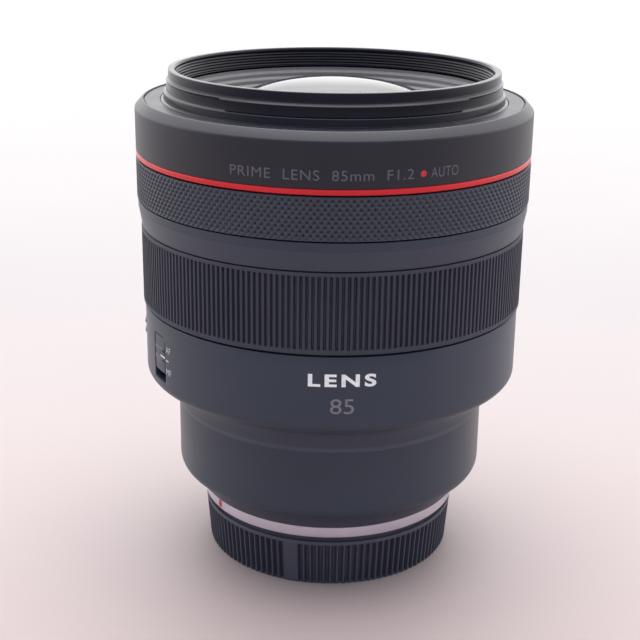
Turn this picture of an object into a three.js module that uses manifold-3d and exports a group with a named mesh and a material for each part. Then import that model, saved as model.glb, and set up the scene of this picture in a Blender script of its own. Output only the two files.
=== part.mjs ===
// A prime camera lens standing on its rear cap, front element up, in millimetres.
// The optical axis is Z. An azimuth is measured from -Y (the side that carries the name)
// and grows towards +X, so a point at azimuth a and radius r is (r sin a, -r cos a).
import * as THREE from "three";
import { mergeVertices } from "three/addons/utils/BufferGeometryUtils.js";
import Module from "manifold-3d";

const wasm = await Module();
wasm.setup();

// ---- driving dimensions -------------------------------------------------------------
const FLANGE_Z = 14.5; // seat of the lens mount, 117.3 mm below the front rim
const TOP_Z = 131.8;
const GAP = 0.3; // clearance between two touching pieces
const OUT_SEG = 32; // facets round the outer shells
const IN_SEG = 24; // facets round the inner metalwork
const GLASS_SEG = 16; // facets round the inner elements

const CAP = { top: 14.0, rTop: 34.7, rBottom: 33.7, wall: 2.2, floor: 2.0 };
const MOUNT = { r: 35.0, throat: 23.4, barrel: 25.0, lug: 26.9, lugBottom: 9.3 };
const NECK = { r: 41.8, z: 26.4 };
const MAIN = { r: 50.25, bottom: 49.95, top: 70.6, wall: 1.85 };
const FOCUS = { bottom: 71.2, top: 91.4, r: 50.7, bore: 48.4 };
const MID = { bottom: 91.9, step: 96.2, top: 98.8, r: 50.3, rTop: 51.4, sleeve: 46.0 };
const CONTROL = { bottom: 99.3, top: 109.6, r: 51.6, bore: 48.9 };
const RED = { bottom: 110.1, top: 111.6, r: 51.5 };
const COLLAR = { bottom: 112.0, top: 122.6, r: 51.55, chamferR: 49.05, faceZ: 124.2 };
const FILTER = { bore: 41.35, rim: 42.87, lug: 43.9, lugBottom: 128.4, lugTop: 129.2 };

// focusing helicoid
const FOCUS_TRAVEL = 7;
const CAM_TURN = 70; // degrees of cam turn for the full travel
const ROLLER = { r: 1.35, z: 54, slot: 1.7 };

// diaphragm
const BLADES = 9;
const IRIS = { base: 73.7, plate: 1.1, first: 75.2, pitch: 0.5, leaf: 0.25, hole: 22 };
const PIVOT_R = 36;
const DRIVE_ARM = 9; // from a leaf's pivot pin to its drive pin
const LEAF_SWING = 31; // degrees, wide open to smallest stop
const RING_SWING = 24.8; // turn of the drive ring for that swing

// selector switches, as windows through the main barrel
const SWITCH = { windowBottom: 54.4, windowTop: 66.2, halfAngle: 3.35, side: 0.35 };
const FOCUS_SWITCH = { azimuth: -60.4, bottom: 56.9, r: 50.55 };
const LIMITER_SWITCH = { azimuth: -85, bottom: 59.5, r: 50.95 };

// ---- small helpers ------------------------------------------------------------------
const rad = THREE.MathUtils.degToRad;
const at = (r, azimuth, z) => [r * Math.sin(rad(azimuth)), -r * Math.cos(rad(azimuth)), z];
const lens = new THREE.Group();

function finish(color, roughness, metalness = 0) {
  return new THREE.MeshStandardMaterial({ color, roughness, metalness });
}
const blackSatin = () => finish(0x33353b, 0.45, 0.3);
const blackPlastic = () => finish(0x24252a, 0.55);
const blackRubber = () => finish(0x2a2b30, 0.8);
const redPaint = () => finish(0xc01822, 0.4);
const brightSteel = () => finish(0xb9b6bc, 0.35, 0.9);
const darkAlloy = () => finish(0x4a4b50, 0.5, 0.7);
const brassMetal = () => finish(0xb08d3e, 0.35, 0.9);
const clearGlass = () => finish(0xbfd2dc, 0.05);
const greenBoard = () => finish(0x1d4d33, 0.6);

function add(name, geometry, material) {
  const mesh = new THREE.Mesh(geometry, material);
  mesh.name = name;
  lens.add(mesh);
  return mesh;
}

// A list of [radius, z] corners, in either direction, turned round the axis.
// A profile that starts and ends on the axis is left open there; any other is closed.
function turned(profile, segments = IN_SEG) {
  const onAxis = profile[0][0] === 0 && profile[profile.length - 1][0] === 0;
  const area = profile.reduce((sum, [r, z], i) => {
    const [r2, z2] = profile[(i + 1) % profile.length];
    return sum + r * z2 - r2 * z;
  }, 0);
  const corners = area > 0 ? [...profile] : [...profile].reverse();
  if (!onAxis) corners.push(corners[0]);
  const points = corners.map(([r, z]) => new THREE.Vector2(r, z));
  return new THREE.LatheGeometry(points, segments).rotateX(Math.PI / 2);
}

// Points of a spherical surface from its edge radius to the axis.
function dome(edgeR, edgeZ, apexZ, steps = 3) {
  if (edgeZ === apexZ) return [[edgeR, edgeZ], [0, apexZ]];
  const sag = apexZ - edgeZ;
  const sphere = (edgeR * edgeR + sag * sag) / (2 * sag);
  return Array.from({ length: steps + 1 }, (_, i) => {
    const r = edgeR * (1 - i / steps);
    const drop = Math.abs(sphere) - Math.sqrt(sphere * sphere - r * r);
    return [r, apexZ - Math.sign(sphere) * drop];
  });
}

function quarter(r0, z0, dr, dz, from, to, steps = 4) {
  return Array.from({ length: steps + 1 }, (_, i) => {
    const t = rad(from + ((to - from) * i) / steps);
    return [r0 + dr * Math.cos(t), z0 + dz * Math.sin(t)];
  });
}

// A block bent round the axis. bottom and top give its height at each azimuth.
function bentBlock({ rIn, rOut, from, to, steps = 4, bottom, top }) {
  const level = (value, a) => (typeof value === "function" ? value(a) : value);
  const positions = [];
  for (let i = 0; i <= steps; i++) {
    const a = from + ((to - from) * i) / steps;
    const low = level(bottom, a);
    const high = level(top, a);
    positions.push(...at(rIn, a, low), ...at(rOut, a, low));
    positions.push(...at(rOut, a, high), ...at(rIn, a, high));
  }
  const index = [0, 1, 2, 0, 2, 3];
  for (let i = 0; i < steps; i++) {
    for (let side = 0; side < 4; side++) {
      const a = 4 * i + side;
      const b = 4 * i + ((side + 1) % 4);
      index.push(a, a + 4, b + 4, a, b + 4, b);
    }
  }
  const last = 4 * steps;
  index.push(last, last + 2, last + 1, last, last + 3, last + 2);
  const geometry = new THREE.BufferGeometry();
  geometry.setAttribute("position", new THREE.Float32BufferAttribute(positions, 3));
  geometry.setIndex(index);
  return geometry;
}

// An outline of [x, y] corners, as a plate from z0 to z1.
function plate(outline, z0, z1) {
  const shape = new THREE.Shape(outline.map(([x, y]) => new THREE.Vector2(x, y)));
  const options = { depth: z1 - z0, bevelEnabled: false };
  return new THREE.ExtrudeGeometry(shape, options).translate(0, 0, z0);
}

// An upright post at a radius and azimuth.
function post(r, z0, z1, radius, azimuth, sides = 10) {
  const [x, y] = at(radius, azimuth, 0);
  const cylinder = new THREE.CylinderGeometry(r, r, z1 - z0, sides);
  return cylinder.rotateX(Math.PI / 2).translate(x, y, (z0 + z1) / 2);
}

// A post that lies along a radius of the lens.
function radialPost(r, r0, r1, azimuth, z, sides = 12) {
  const cylinder = new THREE.CylinderGeometry(r, r, r1 - r0, sides);
  const outwards = cylinder.translate(0, -(r0 + r1) / 2, 0);
  return outwards.rotateZ(rad(azimuth)).translate(0, 0, z);
}

function solid(geometry) {
  const bare = geometry.clone();
  bare.deleteAttribute("normal");
  bare.deleteAttribute("uv");
  const merged = mergeVertices(bare, 1e-4);
  const vertProperties = new Float32Array(merged.attributes.position.array);
  const triVerts = new Uint32Array(merged.index.array);
  return new wasm.Manifold(new wasm.Mesh({ numProp: 3, vertProperties, triVerts }));
}

function geometryOf(made) {
  const mesh = made.getMesh();
  const geometry = new THREE.BufferGeometry();
  geometry.setAttribute("position", new THREE.BufferAttribute(mesh.vertProperties, 3));
  geometry.setIndex(new THREE.BufferAttribute(mesh.triVerts, 1));
  return geometry;
}

function cut(geometry, tools) {
  return geometryOf(tools.reduce((body, tool) => body.subtract(solid(tool)), solid(geometry)));
}

function joined(geometry, extras) {
  return geometryOf(extras.reduce((body, extra) => body.add(solid(extra)), solid(geometry)));
}

const spread = (count, first = 0) =>
  Array.from({ length: count }, (_, i) => first + (360 / count) * i);

// ---- front of the lens --------------------------------------------------------------
// Filter ring: 82 mm thread inside, hood bayonet ledges and three lugs outside.
function filterRing() {
  const { bore, rim, lug, lugBottom, lugTop } = FILTER;
  const body = turned([
    [bore, 111], [44.9, 111], [44.9, 124.0], [44.15, 124.4], [44.15, 126.0], [43.25, 126.4],
    [43.25, 129.6], [rim, 129.9], [rim, TOP_Z], [41.3, TOP_Z], [41.0, 131.2], [41.0, 126.6],
    [bore, 126.5],
  ], OUT_SEG);
  const lugs = spread(3, 4.5).map((middle) =>
    bentBlock({
      rIn: 42.2, rOut: lug, from: middle - 43, to: middle + 43, steps: 12,
      bottom: lugBottom, top: lugTop,
    }),
  );
  return joined(body, lugs);
}
add("filter_ring", filterRing(), blackSatin());

// Grooved cone that hides the cell's edge and holds the front element down.
add("front_baffle", turned([
  [40.9, 126.3], [38.2, 122.3], [38.2, 122.0], [35.7, 118.4], [35.7, 118.0], [40.9, 118.0],
], OUT_SEG), blackPlastic());

add("front_collar", turned([
  [45.3, COLLAR.faceZ], [COLLAR.chamferR, 124.1], [COLLAR.r, COLLAR.top],
  [COLLAR.r, COLLAR.bottom], [48.5, COLLAR.bottom], [48.5, 97.0], [46.5, 97.0],
  [46.5, 121.5], [45.3, 122.0],
], OUT_SEG), blackSatin());

add("red_ring", turned([
  [48.8, RED.bottom], [RED.r, RED.bottom], [RED.r, RED.top], [48.8, RED.top],
], OUT_SEG), redPaint());

add("control_ring", turned([
  [CONTROL.bore, CONTROL.bottom], [CONTROL.r - 0.4, CONTROL.bottom],
  [CONTROL.r, CONTROL.bottom + 0.5], [CONTROL.r, CONTROL.top - 0.5],
  [CONTROL.r - 0.4, CONTROL.top], [CONTROL.bore, CONTROL.top],
], OUT_SEG), blackSatin());

// ---- middle of the barrel -----------------------------------------------------------
// Fixed ring between the two turning rings; its sleeve is the focus ring's bearing.
add("mid_barrel", turned([
  [MID.rTop, MID.top], [48.8, MID.top], [48.8, 96.7], [MID.sleeve, 96.7], [MID.sleeve, 71.0],
  [48.0, 71.0], [48.0, MID.bottom], [MID.r, MID.bottom], [MID.r, MID.step], [MID.rTop, 98.5],
], OUT_SEG), blackSatin());

const GRIP_BORE = FOCUS.bore + 1.3;
add("focus_ring", turned([
  [FOCUS.bore, FOCUS.bottom], [GRIP_BORE - GAP, FOCUS.bottom],
  [GRIP_BORE - GAP, FOCUS.top], [FOCUS.bore, FOCUS.top],
], OUT_SEG), darkAlloy());
add("focus_grip", turned([
  [GRIP_BORE, FOCUS.bottom], [FOCUS.r - 0.3, FOCUS.bottom], [FOCUS.r, 72.0],
  [FOCUS.r, 90.6], [FOCUS.r - 0.3, FOCUS.top], [GRIP_BORE, FOCUS.top],
], OUT_SEG), blackRubber());

function switchWindow(azimuth) {
  return bentBlock({
    rIn: MAIN.r - 4, rOut: MAIN.r + 1, from: azimuth - SWITCH.halfAngle,
    to: azimuth + SWITCH.halfAngle, steps: 2,
    bottom: SWITCH.windowBottom, top: SWITCH.windowTop,
  });
}

function mainBarrel() {
  const inner = MAIN.r - MAIN.wall;
  const shell = turned([
    [MAIN.r, MAIN.top],
    ...quarter(46.56, 52.9, MAIN.r - 46.56, 52.9 - MAIN.bottom, 0, -90),
    [44.0, MAIN.bottom], [44.0, 51.4], [inner, 52.9], [inner, 69.2], [45.5, 69.2],
    [45.5, MAIN.top],
  ], OUT_SEG);
  return cut(shell, [switchWindow(FOCUS_SWITCH.azimuth), switchWindow(LIMITER_SWITCH.azimuth)]);
}
add("main_barrel", mainBarrel(), blackSatin());

// A sliding button: a curved slab with three raised grip bars across its middle.
function switchKnob({ azimuth, bottom, r }) {
  const half = SWITCH.halfAngle - SWITCH.side;
  const top = SWITCH.windowTop - GAP;
  const slab = bentBlock({
    rIn: 48.3, rOut: r - 0.25, from: azimuth - half, to: azimuth + half, steps: 2, bottom, top,
  });
  const middle = (bottom + top) / 2;
  const bars = [-1.5, 0, 1.5].map((offset) =>
    bentBlock({
      rIn: r - 0.6, rOut: r, from: azimuth - half + 0.3, to: azimuth + half - 0.3, steps: 2,
      bottom: middle + offset - 0.4, top: middle + offset + 0.4,
    }),
  );
  return joined(slab, bars);
}
add("focus_mode_switch", switchKnob(FOCUS_SWITCH), blackPlastic());
add("focus_limiter_switch", switchKnob(LIMITER_SWITCH), blackPlastic());
add("switch_panel", bentBlock({
  rIn: 47.2, rOut: 48.0, from: -96, to: -50, steps: 8, bottom: 53.6, top: 67.4,
}), greenBoard());

// ---- rear of the barrel and mount -----------------------------------------------------
const SCREW_AZIMUTHS = spread(4, 20);
const SCREW_R = 31.6;

function rearBarrel() {
  const shell = turned([
    [30.0, 17.75], [35.4, 17.75], [39.66, 23.24],
    ...quarter(39.66, NECK.z, NECK.r - 39.66, 3.12, -90, 0, 3).slice(1),
    [NECK.r, 43.2],
    ...quarter(46.2, 43.2, -(46.2 - NECK.r), 6.3, 0, 90, 4).slice(1),
    [40.6, 49.5], [40.6, 43.9], [39.4, 43.9], [39.4, 27.0], [36.4, 20.6], [30.0, 20.6],
  ], OUT_SEG);
  return cut(shell, SCREW_AZIMUTHS.map((a) => post(1.35, 17, 21, SCREW_R, a)));
}
add("rear_barrel", rearBarrel(), blackSatin());

function lensMount() {
  const { r, throat, barrel, lug, lugBottom } = MOUNT;
  const top = 17.4;
  const flange = turned([
    [throat, lugBottom], [barrel, lugBottom], [barrel, FLANGE_Z], [r - 0.2, FLANGE_Z],
    [r, FLANGE_Z + 0.3], [r, top], [throat, top],
  ], OUT_SEG);
  const lugs = spread(3, 60).map((middle) =>
    bentBlock({
      rIn: barrel - 0.8, rOut: lug, from: middle - 28, to: middle + 28, steps: 8,
      bottom: lugBottom, top: lugBottom + 1.4,
    }),
  );
  const holes = SCREW_AZIMUTHS.map((a) => post(1.35, 14, 18, SCREW_R, a));
  const sinks = SCREW_AZIMUTHS.map((a) => post(2.2, 14, 15.9, SCREW_R, a));
  return cut(joined(flange, lugs), [...holes, ...sinks]);
}
add("lens_mount", lensMount(), brightSteel());

SCREW_AZIMUTHS.forEach((azimuth, i) => {
  const head = post(1.85, 14.6, 15.6, SCREW_R, azimuth);
  const shank = post(1.0, 15.4, 21.6, SCREW_R, azimuth, 8);
  add(`mount_screw_${i + 1}`, joined(head, [shank]), brightSteel());
});

// Spring contacts that meet the camera, in their insulating block.
function contactBlock() {
  const middle = 123;
  const block = bentBlock({
    rIn: 20.9, rOut: 23.1, from: middle - 40, to: middle + 40, steps: 8, bottom: 9.8, top: 17.2,
  });
  const pins = Array.from({ length: 12 }, (_, i) =>
    post(0.5, 9.4, 11, 22.0, middle - 35 + (70 / 11) * i, 6),
  );
  return joined(block, pins);
}
add("contact_block", contactBlock(), brassMetal());

function circuitBoard() {
  const board = turned([[28.4, 23.0], [37.0, 23.0], [37.0, 24.1], [28.4, 24.1]]);
  const chips = [30, 140, 250].map((a) =>
    bentBlock({ rIn: 30.2, rOut: 34.8, from: a, to: a + 12, steps: 1, bottom: 23.5, top: 25.6 }),
  );
  return joined(board, chips);
}
add("circuit_board", circuitBoard(), greenBoard());

// Rear cap: outer cup, inner bayonet ring and three tabs that pass between the mount's lugs.
function rearCap() {
  const { top, rTop, rBottom, wall, floor } = CAP;
  const cup = turned([
    [0, 0], [rBottom - 0.5, 0], [rBottom, 0.5], [rTop, 12.9], [rTop - 1.1, top],
    [rTop - wall, top], [rBottom - wall, floor], [29.4, floor], [29.4, 12.4], [27.4, 12.4],
    [27.4, floor], [0, floor],
  ], OUT_SEG);
  const tabs = spread(3, 0).map((middle) =>
    bentBlock({
      rIn: 25.6, rOut: 28.4, from: middle - 26, to: middle + 26, steps: 6,
      bottom: 11.2, top: 12.4,
    }),
  );
  return joined(cup, tabs);
}
add("rear_cap", rearCap(), blackPlastic());

// ---- focusing mechanism ---------------------------------------------------------------
const ROLLER_AZIMUTHS = spread(3, 30);

function guideTube() {
  const tube = turned([[38.9, 44.2], [40.1, 44.2], [40.1, 73.2], [38.9, 73.2]]);
  const half = THREE.MathUtils.radToDeg(ROLLER.slot / 39.5);
  const slots = ROLLER_AZIMUTHS.map((a) =>
    bentBlock({
      rIn: 37, rOut: 42, from: a - half, to: a + half, steps: 1,
      bottom: ROLLER.z - ROLLER.slot - 0.5, top: ROLLER.z + FOCUS_TRAVEL + ROLLER.slot + 0.5,
    }),
  );
  return cut(tube, slots);
}
add("guide_tube", guideTube(), darkAlloy());

function camRing() {
  const tube = turned([[40.5, 51.0], [42.1, 51.0], [42.1, 65.6], [40.5, 65.6]]);
  const end = 2.6; // degrees past the roller's centre at each end of a slot
  const slots = ROLLER_AZIMUTHS.map((a) => {
    const centre = (azimuth) => ROLLER.z - (FOCUS_TRAVEL / CAM_TURN) * (azimuth - a);
    return bentBlock({
      rIn: 39, rOut: 44, from: a - CAM_TURN - end, to: a + end, steps: 8,
      bottom: (azimuth) => centre(azimuth) - ROLLER.slot,
      top: (azimuth) => centre(azimuth) + ROLLER.slot,
    });
  });
  return cut(tube, slots);
}
add("cam_ring", camRing(), darkAlloy());

add("motor_rotor", turned([[42.5, 61.7], [46.4, 61.7], [46.4, 64.8], [42.5, 64.8]]),
  brightSteel());

function motorStator() {
  const ring = turned([[42.6, 56.6], [46.4, 56.6], [46.4, 61.2], [42.6, 61.2]]);
  const notches = spread(24, 7.5).map((a) =>
    bentBlock({ rIn: 42, rOut: 47, from: a - 0.8, to: a + 0.8, steps: 1, bottom: 59.6, top: 62 }),
  );
  return cut(ring, notches);
}
add("motor_stator", motorStator(), brassMetal());

add("focus_cell", turned([
  [38.3, 47.4], [38.3, 66.2], [26.6, 66.2], [26.6, 52.6], [26.1, 52.0], [26.1, 48.0],
  [24.8, 47.4],
]), darkAlloy());
ROLLER_AZIMUTHS.forEach((a, i) => {
  const roller = radialPost(ROLLER.r, 38.65, 41.8, a, ROLLER.z);
  add(`cam_roller_${i + 1}`, roller, brassMetal());
});

// ---- diaphragm --------------------------------------------------------------------------
const LEAF_AZIMUTHS = spread(BLADES, 0);
const ringTop = IRIS.first + BLADES * IRIS.pitch + 0.2;

function irisBase() {
  const { base, plate: thick, hole } = IRIS;
  const cup = turned([
    [hole, base], [40.6, base], [40.6, 81.0], [39.2, 81.0], [39.2, base + thick],
    [hole, base + thick],
  ]);
  const holes = LEAF_AZIMUTHS.map((a) => post(1.1, base - 1, base + 2, PIVOT_R, a + 90, 8));
  return cut(cup, holes);
}
add("iris_base", irisBase(), darkAlloy());

// Turns a plan point round the leaf's pivot by the given angle.
function swung([x, y], degrees) {
  const turn = rad(degrees);
  const dx = x - PIVOT_R;
  return [
    PIVOT_R + dx * Math.cos(turn) - y * Math.sin(turn),
    dx * Math.sin(turn) + y * Math.cos(turn),
  ];
}
const polar = (r, degrees) => [r * Math.cos(rad(degrees)), r * Math.sin(rad(degrees))];
const DRIVE_ANGLE = THREE.MathUtils.radToDeg(2 * Math.asin(DRIVE_ARM / 2 / PIVOT_R));
const drivePin = polar(PIVOT_R, DRIVE_ANGLE);

function irisLeaf(level) {
  const arc = (r, from, to, steps) =>
    Array.from({ length: steps + 1 }, (_, i) => polar(r, from + ((to - from) * i) / steps));
  const outline = [
    ...arc(IRIS.hole + 0.3, -3, 85, 8),
    ...arc(34.3, 85, 18, 6),
    ...arc(38.0, 17, -2.6, 3),
    polar(34.3, -3.5),
  ];
  const z = IRIS.first + IRIS.pitch * level;
  const pin = (x, y, r, z0, z1) =>
    new THREE.CylinderGeometry(r, r, z1 - z0, 8)
      .rotateX(Math.PI / 2).translate(x, y, (z0 + z1) / 2);
  const pivot = pin(PIVOT_R, 0, 0.75, IRIS.base + 0.2, z + 0.1);
  const drive = pin(drivePin[0], drivePin[1], 0.7, z + 0.1, ringTop + 0.9);
  return joined(plate(outline, z, z + IRIS.leaf), [pivot, drive]);
}
LEAF_AZIMUTHS.forEach((azimuth, i) => {
  const leaf = add(`iris_blade_${i + 1}`, irisLeaf(i), finish(0x1b1b1e, 0.5, 0.4));
  leaf.rotation.z = rad(azimuth);
});

// The drive ring's slots follow each drive pin's path, seen from the turning ring.
function driveSlot() {
  const steps = 5;
  const half = 1.0;
  const path = Array.from({ length: steps + 1 }, (_, i) => {
    const share = -0.08 + (1.16 * i) / steps;
    const [x, y] = swung(drivePin, LEAF_SWING * share);
    const back = rad(-RING_SWING * share);
    return [
      x * Math.cos(back) - y * Math.sin(back),
      x * Math.sin(back) + y * Math.cos(back),
    ];
  });
  const side = (sign) =>
    path.map(([x, y], i) => {
      const before = path[Math.max(i - 1, 0)];
      const after = path[Math.min(i + 1, steps)];
      const length = Math.hypot(after[0] - before[0], after[1] - before[1]);
      return [
        x + (sign * half * (after[1] - before[1])) / length,
        y - (sign * half * (after[0] - before[0])) / length,
      ];
    });
  return plate([...side(1), ...side(-1).reverse()], ringTop - 1, ringTop + 2);
}

function driveRing() {
  const ring = turned([
    [28.4, ringTop], [38.8, ringTop], [38.8, ringTop + 0.9], [28.4, ringTop + 0.9],
  ]);
  return cut(ring, LEAF_AZIMUTHS.map((a) => driveSlot().rotateZ(rad(a))));
}
add("iris_drive_ring", driveRing(), brassMetal());

add("iris_cover", turned([
  [IRIS.hole, 81.4], [40.6, 81.4], [40.6, 82.3], [IRIS.hole, 82.3],
]), darkAlloy());

add("aperture_motor", joined(post(2.2, 72.0, 80.6, 43.3, 100, 12), [
  post(0.6, 80, 82.2, 43.3, 100, 8),
]), darkAlloy());

// ---- cells and glass ----------------------------------------------------------------------
add("front_cell", turned([
  [41.0, 117.6], [36.9, 117.6], [36.9, 112.6], [34.9, 112.6], [34.9, 104.1], [31.9, 104.1],
  [31.9, 88.2], [26.9, 87.6], [26.9, 84.4], [24.5, 83.6], [24.5, 82.7], [45.5, 82.7],
  [45.5, 84.6], [41.0, 84.6],
]), darkAlloy());

add("rear_cell", turned([
  [24.4, 43.7], [24.4, 32.4], [22.9, 31.9], [22.9, 30.1], [21.9, 29.7], [21.9, 20.2],
  [20.6, 19.7], [27.4, 19.7], [27.4, 41.6], [39.0, 41.6], [39.0, 43.7],
]), darkAlloy());

// Each element: edge radius, then the front and rear surfaces as [edge z, apex z].
const ELEMENTS = [
  { r: 36.5, front: [117.06, 128.8], rear: [113.0, 116.0] },
  { r: 34.5, front: [107.0, 114.6], rear: [104.5, 105.5] },
  { r: 31.5, front: [99.5, 104.4], rear: [96.8, 97.8] },
  { r: 31.5, front: [96.4, 97.4], rear: [88.7, 93.6] },
  { r: 26.5, front: [87.4, 92.0], rear: [85.0, 88.8] },
  { r: 26.2, front: [65.8, 62.0], rear: [59.6, 59.0] },
  { r: 26.2, front: [59.2, 58.6], rear: [56.6, 53.2] },
  { r: 25.7, front: [50.4, 52.6], rear: [48.4, 46.8] },
  { r: 24.0, front: [40.6, 43.0], rear: [38.0, 37.0] },
  { r: 24.0, front: [37.6, 36.6], rear: [33.2, 35.0] },
  { r: 22.5, front: [31.4, 33.4], rear: [30.2, 28.6] },
  { r: 21.5, front: [29.0, 27.9], rear: [25.4, 26.0] },
  { r: 21.5, front: [25.0, 25.6], rear: [20.8, 21.4] },
];

ELEMENTS.forEach(({ r, front, rear }, i) => {
  const steps = i === 0 ? 5 : 2;
  const frontFace = dome(r, front[0], front[1], steps).reverse();
  const profile = [...frontFace, ...dome(r, rear[0], rear[1], 2)];
  const glass = turned(profile, i === 0 ? IN_SEG : GLASS_SEG);
  add(`glass_element_${i + 1}`, glass, clearGlass());
});

export default lens;
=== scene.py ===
import math

import bpy
import numpy as np
from mathutils import Matrix, Vector

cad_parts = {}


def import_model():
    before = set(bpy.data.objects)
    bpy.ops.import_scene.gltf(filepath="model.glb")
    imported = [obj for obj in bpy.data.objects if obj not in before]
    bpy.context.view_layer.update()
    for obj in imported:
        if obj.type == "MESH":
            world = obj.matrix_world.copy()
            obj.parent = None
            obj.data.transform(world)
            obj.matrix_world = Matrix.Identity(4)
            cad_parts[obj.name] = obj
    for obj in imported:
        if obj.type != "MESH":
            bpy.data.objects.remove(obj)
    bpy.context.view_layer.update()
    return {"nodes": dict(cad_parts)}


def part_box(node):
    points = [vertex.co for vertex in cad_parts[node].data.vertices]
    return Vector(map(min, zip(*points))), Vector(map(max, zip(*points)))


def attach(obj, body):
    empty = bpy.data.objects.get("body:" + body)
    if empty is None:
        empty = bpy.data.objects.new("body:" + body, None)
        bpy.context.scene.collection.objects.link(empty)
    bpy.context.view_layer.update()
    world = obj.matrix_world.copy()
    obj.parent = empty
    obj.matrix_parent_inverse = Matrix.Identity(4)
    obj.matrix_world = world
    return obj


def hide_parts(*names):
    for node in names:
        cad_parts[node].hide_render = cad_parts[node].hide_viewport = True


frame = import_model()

MM = 0.001
SMOOTH_ANGLE = math.radians(32)
PROUD = 0.03  # how far printing stands off the surface under it


def top(node):
    """The height of a CAD node's highest point."""
    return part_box(node)[1].z / MM


def bottom(node):
    """The height of a CAD node's lowest point."""
    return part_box(node)[0].z / MM


def radius(node):
    """The outer radius of a CAD node that goes round the axis."""
    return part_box(node)[1].x / MM


def at(r, azimuth, z):
    """The point at a radius, azimuth and height."""
    return (r * math.sin(math.radians(azimuth)), -r * math.cos(math.radians(azimuth)), z)


# ---- mesh helpers ----------------------------------------------------------------------
def make_object(name, points, faces, material):
    """A mesh object from points in millimetres."""
    mesh = bpy.data.meshes.new(name)
    mesh.from_pydata((np.asarray(points, float) * MM).tolist(), [], faces)
    mesh.validate()
    mesh.polygons.foreach_set("use_smooth", [True] * len(mesh.polygons))
    mesh.set_sharp_from_angle(angle=SMOOTH_ANGLE)
    mesh.materials.append(material)
    obj = bpy.data.objects.new(name, mesh)
    bpy.context.scene.collection.objects.link(obj)
    return obj


def place(obj, body, replaces=()):
    """Puts a finished piece on its body and hides the CAD nodes it stands for."""
    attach(obj, body)
    if replaces:
        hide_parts(*replaces)
    return obj


def rounded(points, size=0.12, steps=3):
    """The closed outline with every corner turned into a small curve. A third value on a
    point is that corner's own size."""
    out = []
    count = len(points)
    for i, point in enumerate(points):
        here = np.array(point[:2], float)
        before = np.array(points[i - 1][:2], float) - here
        after = np.array(points[(i + 1) % count][:2], float) - here
        lengths = np.linalg.norm(before), np.linalg.norm(after)
        own = point[2] if len(point) > 2 else size
        reach = min(own, 0.45 * lengths[0], 0.45 * lengths[1])
        if reach < 1e-4:
            out.append(tuple(here))
            continue
        start = here + before / lengths[0] * reach
        end = here + after / lengths[1] * reach
        for k in range(steps + 1):
            t = k / steps
            curve = (1 - t) ** 2 * start + 2 * t * (1 - t) * here + t * t * end
            out.append(tuple(curve))
    return out


def arc(r0, z0, dr, dz, start, end, steps):
    """Points on an ellipse about (r0, z0), from one angle to another."""
    angles = np.radians(np.linspace(start, end, steps + 1))
    return [(r0 + dr * math.cos(a), z0 + dz * math.sin(a)) for a in angles]


def turned(name, outline, material, segments=256, relief=None):
    """A closed outline of (radius, z) turned round the axis. relief(azimuth, r, z), in
    degrees and millimetres, gives how far each point moves outwards."""
    shape = np.array([p[:2] for p in outline], float)
    r, z = shape[:, 0], shape[:, 1]
    if np.sum(r * np.roll(z, -1) - np.roll(r, -1) * z) < 0:
        r, z = r[::-1], z[::-1]
    azimuth = np.linspace(0, 360, segments, endpoint=False)
    rr = np.repeat(r[:, None], segments, 1)
    if relief is not None:
        rr = rr + relief(azimuth[None, :], r[:, None], z[:, None])
    a = np.radians(azimuth)[None, :]
    zz = np.repeat(z[:, None], segments, 1)
    points = np.stack([rr * np.sin(a), -rr * np.cos(a), zz], -1)
    rows = len(r)
    j, k = np.meshgrid(np.arange(rows), np.arange(segments), indexing="ij")
    j2, k2 = (j + 1) % rows, (k + 1) % segments
    faces = np.stack([j * segments + k, j * segments + k2, j2 * segments + k2,
                      j2 * segments + k], -1)
    return make_object(name, points.reshape(-1, 3), faces.reshape(-1, 4).tolist(), material)


def dished(name, front, rear, material, segments=160, rings=24, power=None):
    """A lens element. front and rear are (edge radius, edge z, apex z). With power, the
    front is an asphere that falls away by that power of the radius."""
    def meridian(edge_r, edge_z, apex_z, power=None):
        """Points from the edge in towards the apex, and the apex itself."""
        sag = apex_z - edge_z
        radii = np.linspace(edge_r, 0, rings + 1)[:-1]
        if power:
            return [(r, apex_z - sag * (r / edge_r) ** power) for r in radii], apex_z
        sphere = (edge_r ** 2 + sag ** 2) / (2 * sag)
        drop = abs(sphere) - np.sqrt(sphere ** 2 - radii ** 2)
        return [(r, apex_z - math.copysign(d, sphere)) for r, d in zip(radii, drop)], apex_z

    upper, upper_apex = meridian(*front, power)
    lower, lower_apex = meridian(*rear)
    profile = lower[::-1] + upper  # from the rear apex outwards, then in along the front
    azimuth = np.radians(np.linspace(0, 360, segments, endpoint=False))
    points = [(r * math.sin(a), -r * math.cos(a), z) for r, z in profile for a in azimuth]
    faces = []
    for j in range(len(profile) - 1):
        for k in range(segments):
            k2 = (k + 1) % segments
            faces.append((j * segments + k, j * segments + k2, (j + 1) * segments + k2,
                          (j + 1) * segments + k))
    low, high = len(points), len(points) + 1
    points += [(0, 0, lower_apex), (0, 0, upper_apex)]
    last = (len(profile) - 1) * segments
    for k in range(segments):
        k2 = (k + 1) % segments
        faces.append((low, k2, k))
        faces.append((high, last + k, last + k2))
    return make_object(name, points, faces, material)


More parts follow.
